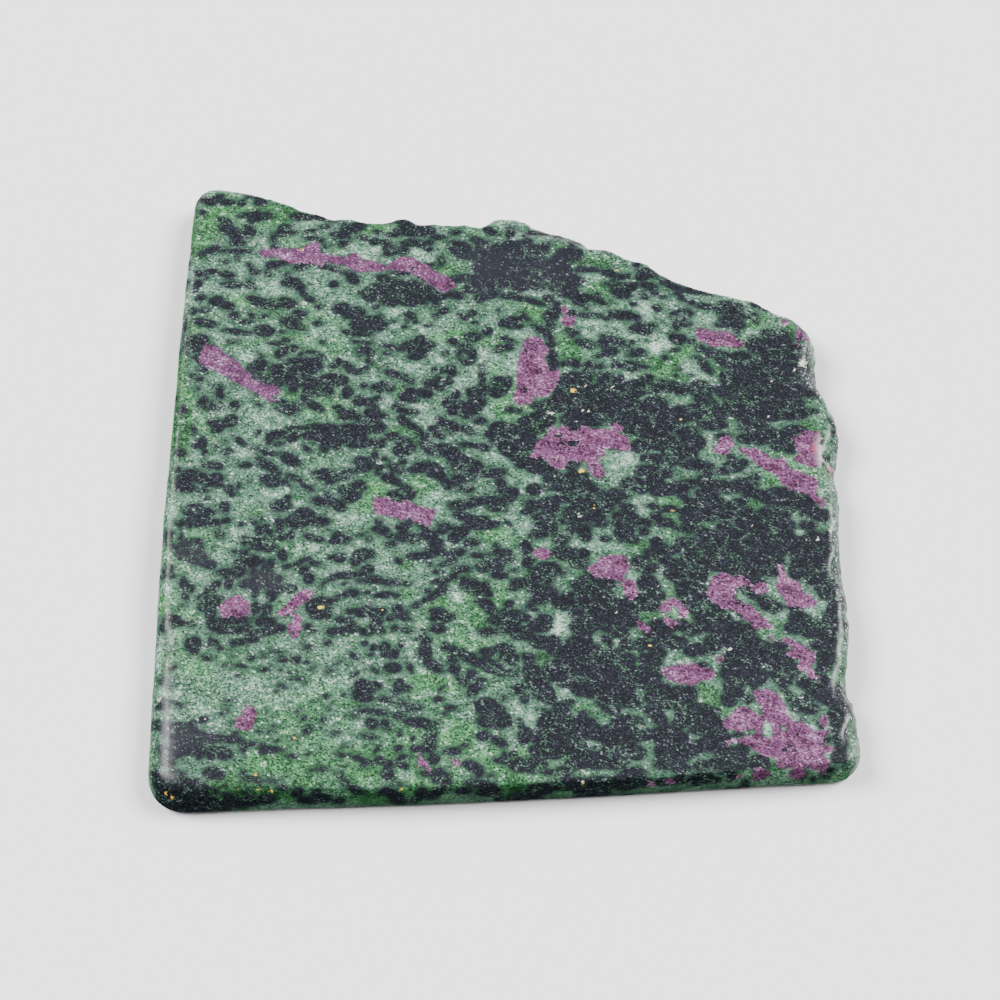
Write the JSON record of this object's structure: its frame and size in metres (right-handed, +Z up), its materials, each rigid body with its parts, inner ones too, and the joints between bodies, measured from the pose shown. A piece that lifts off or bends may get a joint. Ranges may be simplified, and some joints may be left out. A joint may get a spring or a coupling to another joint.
{
  "type": "ruby in zoisite slab",
  "caption": "Flat sawn slab of polished green zoisite rock with black hornblende and flush ruby crystals, a broken back edge and a chipped right edge.",
  "frame": {"origin": "middle of the slab's bounding box, on the plane of its sawn underside", "axes": "+X to the right along the sawn front edge, +Y from the front edge towards the broken back edge, +Z up out of the polished face"},
  "size_m": [0.1218, 0.1244, 0.007],
  "materials": {
    "stone": "polished"
  },
  "bodies": {
    "root": {"slab": "stone"}
  },
  "joints": []
}
